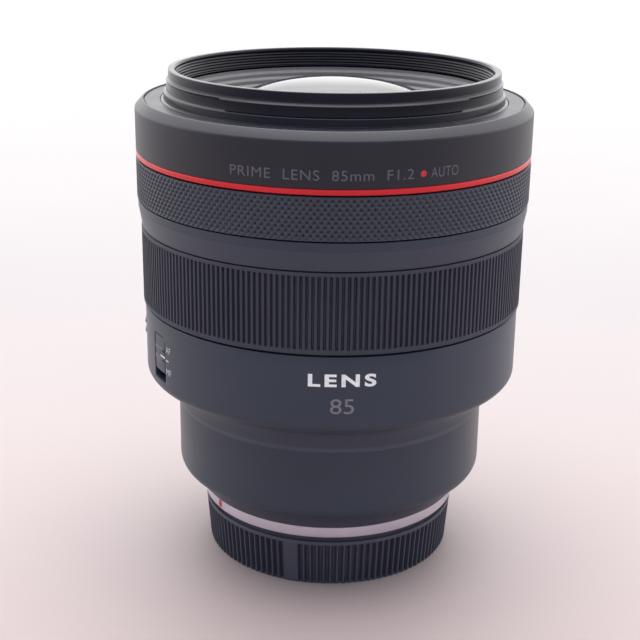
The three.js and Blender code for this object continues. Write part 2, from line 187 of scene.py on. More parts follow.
def bent_patch(name, azimuth, width, z0, z1, r_in, height, material, across=20, along=80):
    """A slab bent round the axis: width in millimetres across, from z0 to z1.
    height(u, v) is its outer radius, where u and v run from 0 to 1 across and along."""
    u, v = np.linspace(0, 1, across + 1), np.linspace(0, 1, along + 1)
    uu, vv = np.meshgrid(u, v, indexing="ij")
    r_out = height(uu, vv)
    mean = float(np.mean(r_out))
    angle = math.radians(azimuth) + (uu - 0.5) * width / mean
    z = z0 + (z1 - z0) * vv
    outer = np.stack([r_out * np.sin(angle), -r_out * np.cos(angle), z], -1).reshape(-1, 3)
    inner = np.stack([r_in * np.sin(angle), -r_in * np.cos(angle), z], -1).reshape(-1, 3)
    points = np.concatenate([outer, inner])
    stride, half = along + 1, len(outer)
    faces = []
    for i in range(across):
        for k in range(along):
            a, b = i * stride + k, (i + 1) * stride + k
            faces.append((a, b, b + 1, a + 1))
            faces.append((half + a, half + a + 1, half + b + 1, half + b))
    rim = [i * stride for i in range(across + 1)]
    rim += [across * stride + k for k in range(1, along + 1)]
    rim += [i * stride + along for i in range(across - 1, -1, -1)]
    rim += [k for k in range(along - 1, 0, -1)]
    for i, a in enumerate(rim):
        b = rim[(i + 1) % len(rim)]
        faces.append((b, a, half + a, half + b))
    return make_object(name, points, faces, material)


def level_at(r):
    """A bent_patch height that is the same all over."""
    return lambda u, v: np.full_like(u, r)


def joined(name, objects):
    """Several objects as one mesh."""
    offset, points, faces = 0, [], []
    for obj in objects:
        points += [tuple(v.co / MM) for v in obj.data.vertices]
        faces += [tuple(offset + i for i in p.vertices) for p in obj.data.polygons]
        offset = len(points)
    material = objects[0].data.materials[0]
    for obj in objects:
        bpy.data.objects.remove(obj)
    return make_object(name, points, faces, material)


def carved(obj, cutters, bevel):
    """Cuts the cutters out of obj and, with a bevel, breaks its sharp edges."""
    for cutter in cutters:
        cut = obj.modifiers.new("cut", "BOOLEAN")
        cut.operation, cut.solver, cut.object = "DIFFERENCE", "EXACT", cutter
    if bevel:
        edge = obj.modifiers.new("edge", "BEVEL")
        edge.width, edge.segments, edge.limit_method = bevel * MM, 2, "ANGLE"
        edge.angle_limit = math.radians(50)
        edge.harden_normals = False
    depsgraph = bpy.context.evaluated_depsgraph_get()
    mesh = bpy.data.meshes.new_from_object(obj.evaluated_get(depsgraph))
    obj.modifiers.clear()
    obj.data = mesh
    mesh.polygons.foreach_set("use_smooth", [True] * len(mesh.polygons))
    mesh.set_sharp_from_angle(angle=SMOOTH_ANGLE)
    for cutter in cutters:
        bpy.data.objects.remove(cutter)
    return obj


def recoloured_band(obj, material, low, high, least_r):
    """Gives the faces between two heights, outside a radius, another material: a band of painted
    light.
    """
    obj.data.materials.append(material)
    slot = len(obj.data.materials) - 1
    for face in obj.data.polygons:
        centre = face.center / MM
        if low < centre.z < high and math.hypot(centre.x, centre.y) > least_r:
            face.material_index = slot
    return obj


def lettering(name, words, height, span, z, r, material, weight, spacing):
    """Painted letters wrapped on a cylinder between two azimuths, with their middle at
    height z. height is the height of a capital."""
    text = bpy.data.curves.new(name, "FONT")
    text.body = words
    text.align_x = "CENTER"
    text.space_character = spacing
    text.offset = weight
    text.resolution_u = 6
    holder = bpy.data.objects.new(name + "_curve", text)
    bpy.context.scene.collection.objects.link(holder)
    bpy.context.view_layer.update()
    depsgraph = bpy.context.evaluated_depsgraph_get()
    flat = bpy.data.meshes.new_from_object(holder.evaluated_get(depsgraph))
    bpy.data.objects.remove(holder)
    co = np.array([v.co for v in flat.vertices], float)
    tall = co[:, 1].max() - min(0.0, co[:, 1].min())
    scale = height / tall
    faces = [tuple(p.vertices) for p in flat.polygons]
    x = (co[:, 0] - co[:, 0].min()) / (co[:, 0].max() - co[:, 0].min())
    angle = np.radians(span[0] + (span[1] - span[0]) * x)
    level = z - height / 2 + co[:, 1] * scale
    out = r + PROUD
    points = np.stack([out * np.sin(angle), -out * np.cos(angle), level], -1)
    bpy.data.meshes.remove(flat)
    return make_object(name, points, faces, material)


# ---- materials -------------------------------------------------------------------------
def new_material(name):
    """A material with its node lists and its shader."""
    material = bpy.data.materials.new(name)
    material.use_nodes = True
    nodes = material.node_tree.nodes
    return material, nodes, material.node_tree.links, nodes["Principled BSDF"]


def noise(nodes, links, coordinates, scale, detail=4.0):
    """A noise value of about 0.3 to 0.7."""
    texture = nodes.new("ShaderNodeTexNoise")
    texture.inputs["Scale"].default_value = scale
    texture.inputs["Detail"].default_value = detail
    links.new(coordinates, texture.inputs["Vector"])
    return texture.outputs["Fac"]


def ranged(nodes, links, value, low, high):
    """A noise value spread from low to high."""
    spread = nodes.new("ShaderNodeMapRange")
    spread.inputs["From Min"].default_value = 0.3
    spread.inputs["From Max"].default_value = 0.7
    spread.inputs["To Min"].default_value = low
    spread.inputs["To Max"].default_value = high
    links.new(value, spread.inputs["Value"])
    return spread.outputs["Result"]


def tinted(nodes, links, value, dark, light):
    """A colour between two others."""
    ramp = nodes.new("ShaderNodeMix")
    ramp.data_type = "RGBA"
    ramp.inputs["A"].default_value = (*dark, 1)
    ramp.inputs["B"].default_value = (*light, 1)
    links.new(value, ramp.inputs["Factor"])
    return ramp.outputs["Result"]


def surface(name, dark, light, roughness, metallic=0.0, grain=2600.0, grain_depth=0.02,
            blotch=60.0, level=0.5, edge_highlight=None):
    """A painted, moulded or turned surface: slow colour variation, uneven gloss, a fine
    grain in relief, and, with edge_highlight, a painted highlight lightening convex edges."""
    material, nodes, links, shader = new_material(name)
    here = nodes.new("ShaderNodeTexCoord").outputs["Object"]
    slow = noise(nodes, links, here, blotch, 3.0)
    fine = noise(nodes, links, here, grain, 2.0)
    colour = tinted(nodes, links, ranged(nodes, links, slow, 0.0, 1.0), dark, light)
    # painted highlight: convex edges, picked out by pointiness, are lightened towards edge_highlight
    if edge_highlight is not None:
        geometry = nodes.new("ShaderNodeNewGeometry").outputs["Pointiness"]
        edge = nodes.new("ShaderNodeMapRange")
        edge.inputs["From Min"].default_value = 0.56
        edge.inputs["From Max"].default_value = 0.66
        edge.inputs["To Max"].default_value = 0.5
        links.new(geometry, edge.inputs["Value"])
        highlight_mix = nodes.new("ShaderNodeMix")
        highlight_mix.data_type = "RGBA"
        links.new(edge.outputs["Result"], highlight_mix.inputs["Factor"])
        links.new(colour, highlight_mix.inputs["A"])
        highlight_mix.inputs["B"].default_value = (*edge_highlight, 1)
        colour = highlight_mix.outputs["Result"]
    links.new(colour, shader.inputs["Base Color"])
    gloss = ranged(nodes, links, slow, roughness - 0.03, roughness + 0.03)
    links.new(gloss, shader.inputs["Roughness"])
    shader.inputs["Metallic"].default_value = metallic
    shader.inputs["Specular IOR Level"].default_value = level
    bump = nodes.new("ShaderNodeBump")
    bump.inputs["Strength"].default_value = 0.35
    bump.inputs["Distance"].default_value = grain_depth * MM
    links.new(fine, bump.inputs["Height"])
    links.new(bump.outputs["Normal"], shader.inputs["Normal"])
    return material


def turned_metal(name, dark, light, roughness):
    """Bare metal with fine turning lines that run round the axis."""
    material, nodes, links, shader = new_material(name)
    here = nodes.new("ShaderNodeTexCoord").outputs["Object"]
    squash = nodes.new("ShaderNodeMapping")
    squash.inputs["Scale"].default_value = (12, 12, 9000)
    links.new(here, squash.inputs["Vector"])
    lines = noise(nodes, links, squash.outputs["Vector"], 1.0, 2.0)
    slow = noise(nodes, links, here, 90.0, 3.0)
    colour = tinted(nodes, links, ranged(nodes, links, slow, 0.0, 1.0), dark, light)
    links.new(colour, shader.inputs["Base Color"])
    links.new(ranged(nodes, links, lines, roughness - 0.06, roughness + 0.06),
              shader.inputs["Roughness"])
    shader.inputs["Metallic"].default_value = 1.0
    bump = nodes.new("ShaderNodeBump")
    bump.inputs["Strength"].default_value = 0.2
    bump.inputs["Distance"].default_value = 0.01 * MM
    links.new(lines, bump.inputs["Height"])
    links.new(bump.outputs["Normal"], shader.inputs["Normal"])
    return material


def coated_glass(name, tint, level):
    """Optical glass coloured by tint: a pale tint is a faint coating colour, a near-black tint is
    painted shade of a dark interior behind the glass.
    """
    material, nodes, links, shader = new_material(name)
    here = nodes.new("ShaderNodeTexCoord").outputs["Object"]
    haze = noise(nodes, links, here, 45.0, 2.0)
    pale = tuple(min(1.0, 1.15 * c) for c in tint)
    links.new(tinted(nodes, links, haze, tint, pale), shader.inputs["Base Color"])
    shader.inputs["Roughness"].default_value = 0.01
    shader.inputs["Specular IOR Level"].default_value = level
    shader.inputs["Transmission Weight"].default_value = 1.0
    shader.inputs["IOR"].default_value = 1.55
    return material


def paint(name, colour, roughness=0.5):
    """Printed ink, slightly uneven."""
    darker = tuple(0.82 * c for c in colour)
    return surface(name, darker, colour, roughness, grain=4000.0, grain_depth=0.01, blotch=900.0)


# the colour of the painted highlight mixed onto convex edges
EDGE_HIGHLIGHT_COLOUR = (0.05, 0.05, 0.06)
SHELL = surface("satin_shell", (0.018, 0.028, 0.047), (0.022, 0.033, 0.054), 0.38,
                edge_highlight=EDGE_HIGHLIGHT_COLOUR)
# a darker copy of the shell: painted shade on the front collar
SHADED_SHELL = surface("satin_shell_painted_shade", (0.009, 0.010, 0.018), (0.012, 0.013, 0.022), 0.38,
                     edge_highlight=EDGE_HIGHLIGHT_COLOUR, level=0.42)
# a lighter copy of the shell: painted light on the band under the knurl and on the neck's fillet
LIT_SHELL = surface("satin_shell_painted_light", (0.028, 0.037, 0.058), (0.034, 0.043, 0.066), 0.40,
                      edge_highlight=EDGE_HIGHLIGHT_COLOUR)
KNURL_SHELL = surface("satin_shell_knurl", (0.021, 0.026, 0.043), (0.027, 0.032, 0.050), 0.40,
                      edge_highlight=EDGE_HIGHLIGHT_COLOUR)
# a lighter copy of the shell for thin bands that carry a painted highlight
HIGHLIGHT_SHELL = surface("satin_shell_painted_highlight", (0.046, 0.053, 0.076), (0.056, 0.063, 0.088), 0.34)
FRONT_BLACK = surface("front_anodised", (0.002, 0.002, 0.008), (0.003, 0.003, 0.011), 0.22,
                      level=0.26)
RUBBER = surface("grip_rubber", (0.029, 0.032, 0.049), (0.037, 0.040, 0.059), 0.58,
                 grain=3200.0, grain_depth=0.03, level=0.4)
CAP_PLASTIC = surface("cap_plastic", (0.050, 0.052, 0.076), (0.060, 0.062, 0.088), 0.50,
                      grain=2400.0, grain_depth=0.03, edge_highlight=EDGE_HIGHLIGHT_COLOUR, level=0.4)
BAFFLE_BLACK = surface("baffle_black", (0.115, 0.111, 0.118), (0.135, 0.130, 0.137), 0.40)
RED = surface("red_enamel", (0.56, 0.004, 0.010), (0.64, 0.007, 0.015), 0.28)
MOUNT_METAL = turned_metal("mount_plating", (0.55, 0.51, 0.58), (0.64, 0.60, 0.67), 0.42)
SCREW_METAL = turned_metal("screw_steel", (0.50, 0.50, 0.52), (0.60, 0.60, 0.62), 0.30)
BRASS = turned_metal("brass", (0.55, 0.38, 0.14), (0.68, 0.50, 0.22), 0.32)
GOLD = turned_metal("gold_contacts", (0.85, 0.60, 0.22), (0.95, 0.70, 0.30), 0.22)
ALLOY = surface("black_alloy", (0.020, 0.020, 0.022), (0.032, 0.032, 0.034), 0.50,
                metallic=0.3)
LEAF_BLACK = surface("leaf_black", (0.012, 0.012, 0.013), (0.020, 0.020, 0.022), 0.45,
                     metallic=0.5)
BOARD = surface("solder_mask", (0.010, 0.075, 0.030), (0.016, 0.100, 0.045), 0.35, blotch=500.0)
# painted shade: the front element is tinted near black so the shaded lens interior behind it looks
# dark
FRONT_GLASS = coated_glass("front_glass", (0.06, 0.06, 0.07), 0.33)
INNER_GLASS = coated_glass("inner_glass", (0.90, 0.92, 0.97), 0.08)
WHITE_PAINT = paint("white_print", (0.92, 0.92, 0.94))
LABEL_PAINT = paint("label_print", (0.58, 0.57, 0.60))
GREY_PAINT = paint("grey_print", (0.20, 0.19, 0.215))
DIM_PAINT = paint("dim_print", (0.105, 0.104, 0.125))
RED_PAINT = paint("red_print", (0.55, 0.02, 0.03))


# ---- front of the lens -----------------------------------------------------------------
RIM_TOP = top("filter_ring")
RIM_R = 42.87
THREAD = {"top": RIM_TOP - 0.8, "bottom": RIM_TOP - 5.0, "pitch": 0.75, "depth": 0.26,
          "r": 41.0, "rows": 46}
HOOD_LUG = {"azimuths": (4.5, 184.5), "width": 66.0, "low": RIM_TOP - 3.45, "high": RIM_TOP - 2.7}


def thread_relief(azimuth, r, z):
    """A filter thread: one groove that climbs a pitch for each turn."""
    phase = (z / THREAD["pitch"] - azimuth / 360.0) % 1.0
    tooth = 1 - np.abs(2 * phase - 1)
    fade = np.clip((z - THREAD["bottom"]) / 0.3, 0, 1) * np.clip((THREAD["top"] - z) / 0.3, 0, 1)
    return np.where(r < THREAD["r"] + 0.06, THREAD["depth"] * tooth * fade, 0.0)


def filter_ring():
    """The screw-in front ring: lip, flange, two steps, and the hood's two bayonet lugs."""
    base_r, base_z, t, bore = radius("filter_ring"), bottom("filter_ring"), RIM_TOP, THREAD["r"]
    outside = rounded([
        (41.35, base_z), (base_r, base_z), (base_r, t - 7.8, 0.15), (44.15, t - 7.6, 0.05),
        (44.10, t - 5.85, 0.2), (43.40, t - 5.45, 0.05), (43.30, t - 3.2), (43.42, t - 3.0),
        (43.42, t - 2.80, 0.10), (43.14, t - 2.65, 0.1), (RIM_R, t - 2.2, 0.1), (RIM_R, t, 0.3),
        (41.35, t, 0.12), (bore, t - 0.5), (bore, t - 5.2), (41.35, t - 5.3),
    ], 0.1)
    profile = []
    for i, point in enumerate(outside):
        profile.append(point)
        after = outside[(i + 1) % len(outside)]
        if abs(point[0] - bore) < 0.01 and abs(after[0] - bore) < 0.01:
            step = (after[1] - point[1]) / THREAD["rows"]
            profile += [(bore, point[1] + step * k) for k in range(1, THREAD["rows"])]
    ring = turned("filter_ring_skin", profile, FRONT_BLACK, 384, thread_relief)

    def lug_height(u, v):
        ends = np.clip(np.minimum(u, 1 - u) * HOOD_LUG["width"] / 0.4, 0, 1)
        chamfer = np.clip((1 - v) / 0.45, 0, 1)
        return 43.25 + (0.30 + 0.35 * chamfer) * np.sqrt(ends)

    lugs = [bent_patch("lug", azimuth, HOOD_LUG["width"], HOOD_LUG["low"], HOOD_LUG["high"], 42.2,
                       lug_height, FRONT_BLACK, across=90, along=9)
            for azimuth in HOOD_LUG["azimuths"]]
    return joined("filter_ring_skin", [ring, *lugs])


place(filter_ring(), "barrel", ["filter_ring"])


def front_baffle():
    """A cone in small steps, each with its own flat and riser, down to the glass."""
    outer, high = radius("front_baffle"), top("front_baffle")
    low, inner, steps = bottom("front_baffle"), 35.75, 5
    outline = [(outer, low), (outer, high)]
    run, fall = (outer - inner) / steps, (high - low - 0.6) / steps
    for i in range(steps):
        r, z = outer - run * i, high - fall * i
        outline += [(r - 0.10 * run, z - 0.55 * fall), (r - 0.80 * run, z - 0.80 * fall),
                    (r - run, z - fall)]
    outline.append((inner, low))
    return turned("front_baffle_skin", rounded(outline, 0.08, 2), BAFFLE_BLACK, 256)


place(front_baffle(), "barrel", ["front_baffle"])


def front_collar():
    """A flat with a fine groove round it, a chamfered edge and the wall with the data."""
    r, low = radius("front_collar"), bottom("front_collar")
    flat, rim, edge = 124.05, 124.3, 122.2
    outline = rounded([
        (45.02, flat, 0.05), (48.9, flat, 0.05), (48.98, flat - 0.35, 0.02),
        (49.16, flat - 0.35, 0.02), (49.24, rim, 0.08), (49.65, rim, 0.3), (r, edge, 0.35),
        (r, 111.5, 0.12), (48.5, 111.5), (48.5, low + 0.1), (46.5, low + 0.1), (46.5, 121.5),
        (45.02, 122.0),
    ], 0.05, 4)
    # painted shade: the collar is turned in the darker copy of the shell
    return turned("front_collar_skin", outline, SHADED_SHELL, 320)


place(front_collar(), "barrel", ["front_collar"])


def red_ring():
    """The trim ring, with the narrow split where its ends meet."""
    r, low, high = radius("red_ring"), bottom("red_ring"), top("red_ring")
    outline = rounded([(48.8, low - 0.2), (r, low - 0.2, 0.5), (r, high - 0.18, 0.45),
                       (48.8, high - 0.18)], 0.1, 4)
    ring = turned("red_ring_skin", outline, RED, 320)
    split = bent_patch("split", -62.5, 0.22, low - 1, high + 1, 50.9, level_at(52),
                       RED, 2, 2)
    return carved(ring, [split], bevel=0)


place(red_ring(), "barrel", ["red_ring"])

# ---- control ring: a diamond knurl cut in relief ---------------------------------------
KNURL = {"around": 195, "pitch_z": 2.05, "depth": 0.42, "groove": 0.40}


def knurl_relief(azimuth, r, z):
    """Two sets of slanting grooves, with a deeper pit wherever two of them cross."""
    low, high = bottom("control_ring"), top("control_ring")
    u = azimuth * KNURL["around"] / 360
    v = (z - (low + high) / 2) / KNURL["pitch_z"]

    def groove(t):
        s = np.clip(1 - np.abs(t - np.round(t)) / KNURL["groove"], 0, 1)
        return s * s * (3 - 2 * s)

    one, other = groove(u + v), groove(u - v)
    cut = 0.45 * (one + other) + 0.6 * one * other
    fade = np.clip((z - low) / 0.2, 0, 1) * np.clip((high - 0.15 - z) / 0.2, 0, 1)
    on_wall = r > radius("control_ring") - 0.06
    return np.where(on_wall, -KNURL["depth"] * cut * fade, 0.0)


def control_ring():
    """The knurled ring, with rows close enough together to carry its relief."""
    r, low, high = radius("control_ring"), bottom("control_ring") - 0.15, top("control_ring")
    bore = 48.9
    rows = 48
    edge = 0.25
    wall = [(r, low + edge + (high - low - 2 * edge) * i / rows) for i in range(rows + 1)]
    outline = [(bore, high), (bore, low), (r - 0.35, low), (r - 0.1, low + 0.08), *wall,
               (r - 0.1, high - 0.08), (r - 0.35, high)]
    return turned("control_ring_skin", outline, KNURL_SHELL, KNURL["around"] * 9, knurl_relief)


place(control_ring(), "control_ring", ["control_ring"])


# ---- middle of the barrel --------------------------------------------------------------
def mid_barrel():
    """The fixed ring between the two turning ones: a cone, and a band under the knurl."""
    r_top, high = radius("mid_barrel"), top("mid_barrel")
    low = top("focus_grip") + 0.3
    outline = rounded([
        (r_top, high, 0.12), (48.8, high), (48.8, 96.7), (46.0, 96.7), (46.0, 71.0),
        (48.0, 71.0), (48.0, low), (50.45, low, 0.15), (51.26, 96.5, 0.15),
        (51.33, 96.62, 0.05), (r_top, high - 0.3, 0.1),
    ], 0.12, 5)
    # painted light: the band under the knurl gets the lighter shell, and the cone above is put back
    # to the plain shell
    band = turned("mid_barrel_skin", outline, LIT_SHELL, 320)
    return recoloured_band(band, SHELL, 96.55, high + 1, 50)


place(mid_barrel(), "barrel", ["mid_barrel"])

RIBS = {"count": 224, "depth": 0.75, "low": 1.05, "high": 0.85}


def plateau(phase, flat, edge):
    """1 on a rib's flat top, 0 in the groove, with soft shoulders between."""
    distance = np.abs((phase % 1.0) - 0.5)
    t = np.clip((flat / 2 + edge - distance) / edge, 0, 1)
    return t * t * (3 - 2 * t)


def rib_relief(azimuth, r, z):
    """The focus grip's ribs, between its two plain edges."""
    low, high = bottom("focus_grip") + RIBS["low"], top("focus_grip") - RIBS["high"]
    rib = plateau(azimuth * RIBS["count"] / 360.0, 0.42, 0.14)
    fade = np.clip((z - low) / 0.3, 0, 1) * np.clip((high - z) / 0.3, 0, 1)
    on_wall = r > radius("focus_grip") - 0.05
    return np.where(on_wall, -RIBS["depth"] * (1 - rib) * fade, 0.0)


def focus_grip():
    """The rubber grip, with rows only where the ribs' ends need them."""
    r, low, high = radius("focus_grip"), bottom("focus_grip"), top("focus_grip")
    z = [low + 0.2, low + 0.6, low + 1.05, low + 1.12, low + 1.2, low + 1.35, low + 1.5]
    z += list(np.linspace(low + 3, high - 3, 6))
    z += [high - 1.3, high - 1.15, high - 1.0, high - 0.92, high - 0.85, high - 0.5, high - 0.2]
    outline = [(49.7, high), (49.7, low), (r - 0.2, low), (r - 0.06, low + 0.06),
               *[(r, level) for level in z], (r - 0.06, high - 0.06), (r - 0.2, high)]
    return turned("focus_grip_skin", outline, RUBBER, RIBS["count"] * 10, rib_relief)


place(focus_grip(), "focus_ring", ["focus_grip"])


def focus_sleeve():
    """The metal sleeve under the grip."""
    low, high, r = bottom("focus_ring"), top("focus_ring"), radius("focus_ring")
    outline = rounded([(48.4, low), (r, low), (r, high), (48.4, high)], 0.15)
    return turned("focus_sleeve_skin", outline, ALLOY, 256)


place(focus_sleeve(), "focus_ring", ["focus_ring"])

# ---- main barrel with its switches -----------------------------------------------------
SWITCH_AZIMUTHS = {"focus_mode_switch": -61.2, "focus_limiter_switch": -85.0}
WINDOW = {"width": 7.2, "bottom": 54.05, "top": 66.5, "corner": 1.3, "lower_corner": 0.6}


def window_cutter(azimuth):
    """A rounded slot, as a block along a radius."""
    half, upper, lower = WINDOW["width"] / 2, WINDOW["corner"], WINDOW["lower_corner"]
    outline = []
    corners = [(half - upper, WINDOW["top"] - upper, upper, 0),
               (-half + upper, WINDOW["top"] - upper, upper, 90),
               (-half + lower, WINDOW["bottom"] + lower, lower, 180),
               (half - lower, WINDOW["bottom"] + lower, lower, 270)]
    for x, z, size, start in corners:
        outline += [(x + size * math.cos(math.radians(start + a)),
                     z + size * math.sin(math.radians(start + a))) for a in range(0, 91, 15)]
    turn = Matrix.Rotation(math.radians(azimuth), 3, "Z")
    points = [tuple(turn @ Vector((x, -r, z))) for r in (46.5, 52.5) for x, z in outline]
    count = len(outline)
    faces = [tuple(range(count - 1, -1, -1)), tuple(range(count, 2 * count))]
    faces += [(i, (i + 1) % count, count + (i + 1) % count, count + i) for i in range(count)]
    return make_object("window_cutter", points, faces, SHELL)


def main_barrel():
    """The widest fixed part, with a curved lower edge and a window for each switch."""
    r, low, high = radius("main_barrel"), bottom("main_barrel"), top("main_barrel")
    edge_r, edge_rise = 46.56, 2.95
    corner = arc(edge_r, low + edge_rise, r - edge_r, edge_rise, 0, -90, 16)
    walls = [(r, z) for z in (high - 0.25, WINDOW["top"] + 0.6, WINDOW["bottom"] - 0.6)]
    outline = [*walls, *corner, (44.0, low), (44.0, low + 1.5),
               (r - 1.85, low + edge_rise), (r - 1.85, 69.2), (45.5, 69.2), (45.5, high),
               (r - 0.25, high), (r - 0.07, high - 0.07)]
    shell = turned("main_barrel_skin", outline, SHELL, 320)
    cutters = [window_cutter(azimuth) for azimuth in SWITCH_AZIMUTHS.values()]
    shell = carved(shell, cutters, bevel=0.08)
    # painted highlight: a thin band on the lower curved edge gets the lighter highlight shell
    return recoloured_band(shell, HIGHLIGHT_SHELL, low + 0.3, low + 1.15, 47)


place(main_barrel(), "barrel", ["main_barrel"])


def switch_knob(node, azimuth):
    """A button flush with the barrel, with two soft thumb ridges across its middle."""
    low, high = bottom(node) - 0.4, WINDOW["top"] - 0.3
    length, width = high - low, WINDOW["width"] - 0.6
    apart, broad = 1.3, 0.55  # of the ridges: half the distance between them, and the width

    def height(u, v):
        along, across = v * length, u * width
        centre = length / 2
        ridges = np.exp(-((along - centre - apart) / broad) ** 2)
        ridges += np.exp(-((along - centre + apart) / broad) ** 2)
        ridges *= np.clip(np.minimum(across, width - across) / 1.2, 0, 1)
        edge = np.clip(np.minimum(across, width - across) / 0.3, 0, 1)
        end = np.clip(np.minimum(along, length - along) / 0.3, 0, 1)
        soft = np.sqrt(1 - (1 - edge) ** 2) * np.sqrt(1 - (1 - end) ** 2)
        return 49.9 + 0.28 * soft + 0.42 * ridges

    return bent_patch(node + "_skin", azimuth, width, low, high, 48.3, height, SHELL,
                      across=28, along=90)


for node, azimuth in SWITCH_AZIMUTHS.items():
    place(switch_knob(node, azimuth), node, [node])


# ---- rear barrel, mount and cap --------------------------------------------------------
def rear_barrel():
    """The neck: a fillet under the main barrel, a straight wall and a curved lower end."""
    low, high = bottom("rear_barrel"), top("rear_barrel")
    neck, brim = 41.8, radius("rear_barrel")
    outline = [
        (30.0, low), (35.55, low), (35.8, low + 0.15),
        *arc(39.66, 26.1, neck - 39.66, 3.12, -80, 0, 12),
        (neck, 41.6), (neck - 0.02, 42.0), (neck - 0.1, 42.5), (neck - 0.28, 42.95),
        *arc(brim, 43.1, neck - 0.32 - brim, 6.3, 2, 88, 14),
        (brim, high - 0.05), (brim, high), (40.6, high), (40.6, 43.9), (39.4, 43.9),
        (39.4, 27.0), (36.4, 20.6), (30.0, 20.6),
    ]
    body = turned("rear_barrel_skin", outline, SHELL, 320)
    # painted highlight: a thin band at the top of the neck gets the lighter highlight shell
    recoloured_band(body, HIGHLIGHT_SHELL, 42.0, 43.0, 41)
    # painted light: the fillet under the main barrel gets the lighter shell
    return recoloured_band(body, LIT_SHELL, 43.0, high, 41)


place(rear_barrel(), "barrel", ["rear_barrel"])

SCREW_AZIMUTHS = [20, 110, 200, 290]
SCREW_R = 31.6
FLANGE_Z = 14.5


def upright(name, r, z0, z1, azimuth, at_r, material, sides=40):
    """A round post with broken edges, at a radius and azimuth."""
    profile = [(r - 0.12, z0), (r, z0 + 0.12), (r, z1 - 0.12), (r - 0.12, z1)]
    x, y, _ = at(at_r, azimuth, 0)
    turns = [2 * math.pi * k / sides for k in range(sides)]
    points = [(x + pr * math.cos(turn), y + pr * math.sin(turn), z)
              for pr, z in profile for turn in turns]
    faces = [(j * sides + k, j * sides + (k + 1) % sides, (j + 1) * sides + (k + 1) % sides,
              (j + 1) * sides + k) for j in range(3) for k in range(sides)]
    faces += [tuple(range(sides - 1, -1, -1)), tuple(range(3 * sides, 4 * sides))]
    return make_object(name, points, faces, material)


def lens_mount():
    """The metal flange with its throat, three bayonet lugs and four sunk screw holes."""
    r, low, high = radius("lens_mount"), bottom("lens_mount"), top("lens_mount")
    outline = rounded([
        (23.4, low), (25.0, low), (25.0, FLANGE_Z), (r - 0.15, FLANGE_Z, 0.2),
        (r, FLANGE_Z + 0.15), (r, high, 0.12), (23.4, high),
    ], 0.2, 3)
    ring = turned("lens_mount_skin", outline, MOUNT_METAL, 256)
    lugs = [bent_patch("lug", 60 + 120 * i, 25.6, low, low + 1.4, 24.2,
                       lambda u, v: 26.9 - 0.2 * (2 * np.abs(v - 0.5)) ** 6,
                       MOUNT_METAL, across=40, along=6) for i in range(3)]
    ring = carved(ring, [upright("sink", 2.15, 14.0, 15.9, a, SCREW_R, MOUNT_METAL)
                         for a in SCREW_AZIMUTHS], bevel=0)
    return joined("lens_mount_skin", [ring, *lugs])


place(lens_mount(), "barrel", ["lens_mount"])


def mount_screw(index, azimuth):
    """A countersunk screw with a cross recess in its head."""
    node = f"mount_screw_{index + 1}"
    low, high = bottom(node), top(node)
    head = upright(node + "_skin", 1.85, low, low + 1.0, azimuth, SCREW_R, SCREW_METAL)
    shank = upright("shank", 1.0, low + 0.8, high, azimuth, SCREW_R, SCREW_METAL, 24)
    bars = []
    for turn in (0, 90):
        bar = bent_patch("bar", azimuth, 0.5, low - 0.5, low + 0.5, SCREW_R - 1.15,
                         level_at(SCREW_R + 1.15), SCREW_METAL, 2, 2)
        spin = Matrix.Translation(Vector(at(SCREW_R, azimuth, 0)) * MM)
        spin = spin @ Matrix.Rotation(math.radians(turn + 45), 4, "Z") @ spin.inverted()
        bar.data.transform(spin)
        bars.append(bar)
    head = carved(head, bars, bevel=0)
    return joined(node + "_skin", [head, shank])


for i, azimuth in enumerate(SCREW_AZIMUTHS):
    place(mount_screw(i, azimuth), "barrel", [f"mount_screw_{i + 1}"])


def contact_block():
    """The block of twelve gold pins inside the throat."""
    low, high, middle, pins, spread = bottom("contact_block"), top("contact_block"), 123, 12, 70
    body = bent_patch("contact_block_skin", middle, 30.5, low + 0.4, high, 20.9,
                      lambda u, v: 23.1 - 0.15 * (2 * np.abs(v - 0.5)) ** 8,
                      CAP_PLASTIC, across=40, along=10)
    place(body, "barrel", ["contact_block"])
    for i in range(pins):
        azimuth = middle - spread / 2 + spread / (pins - 1) * i
        pin = upright(f"contact_pin_{i + 1}", 0.5, low, low + 1.4, azimuth, 22.0, GOLD, 20)
        place(pin, "barrel")


contact_block()

CAP_GROOVES = {"count": 120, "depth": 1.25, "top": 11.9, "patch": 6.8, "first_patch": -16.7}


def cap_relief(azimuth, r, z):
    """The rear cap's ribs, left out on three plain patches for the fingers."""
    groove = 1 - plateau(azimuth * CAP_GROOVES["count"] / 360.0, 0.27, 0.11)
    fade = np.clip((CAP_GROOVES["top"] - z) / 0.5, 0, 1) * np.clip((z - 0.02) / 0.3, 0, 1)
    away = (azimuth - CAP_GROOVES["first_patch"] + 60) % 120 - 60
    plain = np.abs(away) < CAP_GROOVES["patch"] / 2
    ribbed = (r > 33.3) & ~plain & (z < CAP_GROOVES["top"])
    return np.where(ribbed, -CAP_GROOVES["depth"] * groove * fade, 0.0)


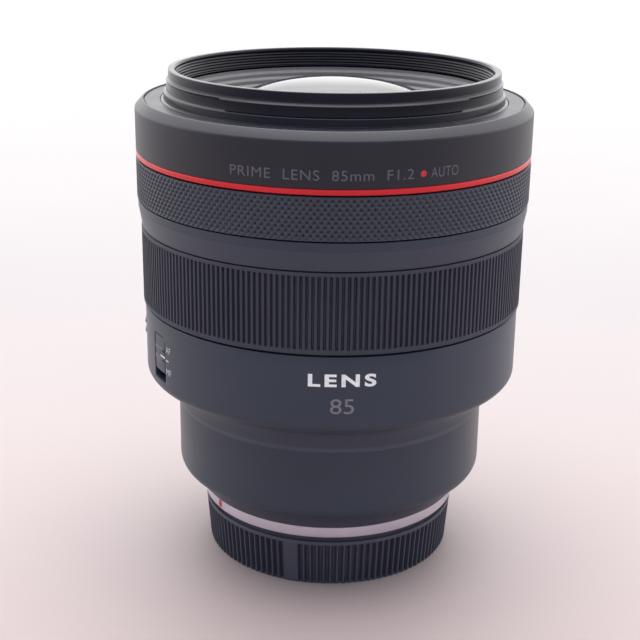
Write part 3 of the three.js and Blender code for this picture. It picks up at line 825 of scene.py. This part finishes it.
def rear_cap():
    """The cap: a cup with a foot ring, a moulding centre underneath and three inner tabs."""
    low, high = bottom("rear_cap"), top("rear_cap")
    r_top, r_bottom = radius("rear_cap"), 33.7
    slope = (r_top - r_bottom) / (12.9 - 0.5)
    wall_z = [0.5, 0.8, 1.2, 2.5, 4.0, 6.0, 8.0, 10.0, 11.3, 11.5, 11.7, 11.85, 11.95, 12.2, 12.6]
    wall = [(r_bottom + slope * (z - 0.5), z) for z in wall_z]
    inside = 2.0
    outline = [
        (27.4, inside), (2.0, inside), (0.5, inside), (0.5, 0.35), (9.0, 0.35), (9.25, 0.12),
        (10.25, 0.12), (10.5, 0.35), (24.6, 0.35), (24.85, 0.3), (25.2, 0.05), (25.4, 0.0),
        (29.6, 0.0), (29.8, 0.3), (30.3, 0.3), (30.5, 0.0), (r_bottom - 0.45, 0.0),
        (r_bottom - 0.12, 0.14), *wall, (r_top - 0.15, 12.88), (r_top - 1.2, 12.9),
        (r_top - 1.3, 13.0), (r_top - 1.3, high - 0.1), (r_top - 1.4, high), (r_top - 2.2, high),
        (31.7, inside), (29.4, inside), (29.4, 12.4), (27.4, 12.4),
    ]
    cup = turned("rear_cap_skin", outline, CAP_PLASTIC, CAP_GROOVES["count"] * 10, cap_relief)
    plug = upright("plug", 0.5, low + 0.35, inside, 0, 0, CAP_PLASTIC, 24)
    tabs = [bent_patch("tab", 120 * i, 24.5, 11.2, 12.4, 25.6, level_at(28.4),
                       CAP_PLASTIC, across=30, along=3) for i in range(3)]
    return joined("rear_cap_skin", [cup, plug, *tabs])


place(rear_cap(), "rear_cap", ["rear_cap"])

# ---- glass -----------------------------------------------------------------------------
# Each element: edge radius, then the front and rear surfaces as (edge z, apex z).
ELEMENTS = [
    (36.5, (117.06, 128.8), (113.0, 116.0)), (34.5, (107.0, 114.6), (104.5, 105.5)),
    (31.5, (99.5, 104.4), (96.8, 97.8)), (31.5, (96.4, 97.4), (88.7, 93.6)),
    (26.5, (87.4, 92.0), (85.0, 88.8)), (26.2, (65.8, 62.0), (59.6, 59.0)),
    (26.2, (59.2, 58.6), (56.6, 53.2)), (25.7, (50.4, 52.6), (48.4, 46.8)),
    (24.0, (40.6, 43.0), (38.0, 37.0)), (24.0, (37.6, 36.6), (33.2, 35.0)),
    (22.5, (31.4, 33.4), (30.2, 28.6)), (21.5, (29.0, 27.9), (25.4, 26.0)),
    (21.5, (25.0, 25.6), (20.8, 21.4)),
]
MOVING_ELEMENTS = (6, 7, 8)
for i, (r, front, rear) in enumerate(ELEMENTS, 1):
    glass = dished(f"glass_element_{i}_skin", (r, *front), (r, *rear),
                   FRONT_GLASS if i == 1 else INNER_GLASS,
                   segments=192 if i in (1, 13) else 96, rings=28 if i == 1 else 10,
                   power=2.6 if i == 1 else None)
    place(glass, "focus_group" if i in MOVING_ELEMENTS else "barrel",
          [f"glass_element_{i}"])

# ---- printing --------------------------------------------------------------------------
# Name, words, height of a capital, azimuths of its ends, height of its middle, the node it
# is on, ink, weight of the strokes, spacing of the letters.
PRINTING = [
    ("word_on_barrel", "LENS", 3.3, (-6.0, 12.8), 64.85, "main_barrel", WHITE_PAINT, 0.035, 1.3),
    ("focal_length", "85", 3.9, (0.15, 6.73), 58.05, "main_barrel", GREY_PAINT, 0.0, 1.0),
    ("collar_text", "PRIME  LENS  85mm  F1.2", 2.4, (-27.3, 20.9), 114.65, "front_collar",
     DIM_PAINT, 0.0, 1.1),
    ("collar_text_end", "AUTO", 2.4, (25.8, 34.1), 114.65, "front_collar", DIM_PAINT, 0.0, 1.1),
    ("switch_letters_auto", "AF", 1.7, (-56.6, -53.9), 63.6, "main_barrel", LABEL_PAINT, 0.0, 1.0),
    ("switch_letters_manual", "MF", 1.7, (-56.6, -53.7), 57.6, "main_barrel", LABEL_PAINT, 0.0, 1.0),
]
for name, words, height, span, z, node, ink, weight, spacing in PRINTING:
    place(lettering(name, words, height, span, z, radius(node), ink, weight, spacing),
          "barrel")


def dot(name, azimuth, z, r, size, material, sides=24):
    """A printed disc wrapped on a cylinder."""
    turns = np.linspace(0, 2 * np.pi, sides, endpoint=False)
    angle = math.radians(azimuth) + size / 2 * np.cos(turns) / r
    level = z + size / 2 * np.sin(turns)
    out = r + PROUD
    points = np.stack([out * np.sin(angle), -out * np.cos(angle), level], -1)
    return make_object(name, points, [tuple(range(sides))], material)


def printed_bar(name, azimuth, width, z, tall, r, material):
    """A printed index mark wrapped on a cylinder."""
    return bent_patch(name, azimuth, width, z - tall / 2, z + tall / 2, r - 0.05,
                      level_at(r + PROUD), material, across=8, along=4)


place(dot("collar_dot", 23.6, 114.5, radius("front_collar"), 1.5, RED_PAINT),
      "barrel")
place(printed_bar("switch_index", -56.0, 1.5, 60.6, 0.4, radius("main_barrel"), LABEL_PAINT),
      "barrel")
place(printed_bar("knob_index", -59.2, 2.6, 60.9, 0.5, 50.2, WHITE_PAINT),
      "focus_mode_switch")
place(printed_bar("mount_index", -57.0, 1.5, 15.95, 2.0, radius("lens_mount"), RED_PAINT),
      "barrel")

# ---- materials of the CAD nodes that stay ----------------------------------------------
KEPT = {
    "switch_panel": ALLOY, "circuit_board": BOARD, "guide_tube": ALLOY, "motor_stator": BRASS,
    "motor_rotor": SCREW_METAL, "iris_base": ALLOY, "iris_cover": ALLOY, "aperture_motor": ALLOY,
    "front_cell": ALLOY, "rear_cell": ALLOY, "cam_ring": ALLOY, "focus_cell": ALLOY,
    "iris_drive_ring": BRASS,
}
KEPT.update({f"cam_roller_{i}": BRASS for i in (1, 2, 3)})
KEPT.update({f"iris_blade_{i}": LEAF_BLACK for i in range(1, 10)})
for node, material in KEPT.items():
    mesh = frame["nodes"][node].data
    mesh.materials.clear()
    mesh.materials.append(material)


# ---- stage, light and camera -----------------------------------------------------------
def floor():
    """A pale floor, a little warmer on the viewer's side, with painted shade that darkens it towards
    the viewer and lightens it towards the back.
    """
    size = 4000.0
    corners = [(-size, -size, 0), (size, -size, 0), (size, size, 0), (-size, size, 0)]
    material, nodes, links, shader = new_material("pale_floor")
    here = nodes.new("ShaderNodeTexCoord").outputs["Object"]
    split = nodes.new("ShaderNodeSeparateXYZ")
    links.new(here, split.inputs[0])
    depth = nodes.new("ShaderNodeMapRange")
    depth.inputs["From Min"].default_value = -0.5
    depth.inputs["From Max"].default_value = 1.5
    links.new(split.outputs["Y"], depth.inputs["Value"])
    ramp = nodes.new("ShaderNodeValToRGB")
    # painted shade: the floor's colour darkens towards the viewer and lightens towards the back
    painted_shade_stops = [(0.0, (0.22, 0.183, 0.186)), (0.225, (0.305, 0.25, 0.251)),
              (0.36, (0.280, 0.262, 0.265)), (0.85, (0.345, 0.34, 0.342))]
    while len(ramp.color_ramp.elements) < len(painted_shade_stops):
        ramp.color_ramp.elements.new(0.5)
    for stop, (position, colour) in zip(ramp.color_ramp.elements, painted_shade_stops):
        stop.position, stop.color = position, (*colour, 1)
    links.new(depth.outputs["Result"], ramp.inputs["Fac"])
    mottle = tinted(nodes, links, noise(nodes, links, here, 6.0), (0.96, 0.96, 0.96),
                    (1.04, 1.04, 1.04))
    blend = nodes.new("ShaderNodeMix")
    blend.data_type, blend.blend_type = "RGBA", "MULTIPLY"
    blend.inputs["Factor"].default_value = 1.0
    links.new(ramp.outputs["Color"], blend.inputs["A"])
    links.new(mottle, blend.inputs["B"])
    links.new(blend.outputs["Result"], shader.inputs["Base Color"])
    shader.inputs["Roughness"].default_value = 0.6
    make_object("floor", corners, [(0, 1, 2, 3)], material)


def area_light(name, position, target, size, power):
    """A round soft light that faces a point."""
    light = bpy.data.lights.new(name, "AREA")
    light.shape, light.size, light.energy = "DISK", size * MM, power
    obj = bpy.data.objects.new(name, light)
    obj.location = Vector(position) * MM
    aim = Vector(target) - Vector(position)
    obj.rotation_mode = "QUATERNION"
    obj.rotation_quaternion = aim.to_track_quat("-Z", "Y")
    bpy.context.scene.collection.objects.link(obj)


def world():
    """A pale room: a soft bright ceiling a little behind the lens, light walls at the
    back and dimmer ones on the viewer's side."""
    room = bpy.data.worlds.new("studio")
    room.use_nodes = True
    nodes, links = room.node_tree.nodes, room.node_tree.links
    direction = nodes.new("ShaderNodeTexCoord").outputs["Generated"]

    def nearness(towards, start, end):
        along = nodes.new("ShaderNodeVectorMath")
        along.operation = "DOT_PRODUCT"
        along.inputs[1].default_value = towards
        links.new(direction, along.inputs[0])
        blend = nodes.new("ShaderNodeMapRange")
        blend.interpolation_type = "SMOOTHSTEP"
        blend.inputs["From Min"].default_value = start
        blend.inputs["From Max"].default_value = end
        links.new(along.outputs["Value"], blend.inputs["Value"])
        return blend.outputs["Result"]

    walls = tinted(nodes, links, nearness((0, 1, 0), -0.8, 0.4), (0.60, 0.65, 0.76),
                   (1.85, 1.83, 1.83))
    shade = nodes.new("ShaderNodeMix")
    shade.data_type = "RGBA"
    shade.inputs["B"].default_value = (4.8, 4.7, 4.7, 1)
    links.new(nearness((0, 0.34, 0.94), 0.62, 0.97), shade.inputs["Factor"])
    links.new(walls, shade.inputs["A"])
    links.new(shade.outputs["Result"], nodes["Background"].inputs["Color"])
    bpy.context.scene.world = room


def camera():
    """The photograph's viewpoint: about 38 cm away, looking 19 degrees down."""
    pitch, pan, roll = math.radians(18.82), math.radians(-0.505), math.radians(0.734)
    forward = Vector((math.sin(pan) * math.cos(pitch), math.cos(pan) * math.cos(pitch),
                      -math.sin(pitch)))
    right = forward.cross(Vector((0, 0, 1))).normalized()
    up = right.cross(forward)
    tilted_right = right * math.cos(roll) + up * math.sin(roll)
    tilted_up = up * math.cos(roll) - right * math.sin(roll)
    turn = Matrix((tilted_right, tilted_up, -forward)).transposed()
    lens = bpy.data.cameras.new("camera")
    lens.sensor_width = 36.0
    lens.lens = 72.95
    lens.clip_start, lens.clip_end = 0.01, 50.0
    obj = bpy.data.objects.new("camera", lens)
    obj.rotation_mode = "QUATERNION"
    obj.rotation_quaternion = turn.to_quaternion()
    obj.location = Vector((0, -337.9, 177.96)) * MM
    bpy.context.scene.collection.objects.link(obj)
    bpy.context.scene.camera = obj


floor()
world()
area_light("overhead", (0, 200, 1320), (0, 0, 120), 1500, 8.0)
camera()
bpy.context.scene.view_settings.view_transform = "Standard"
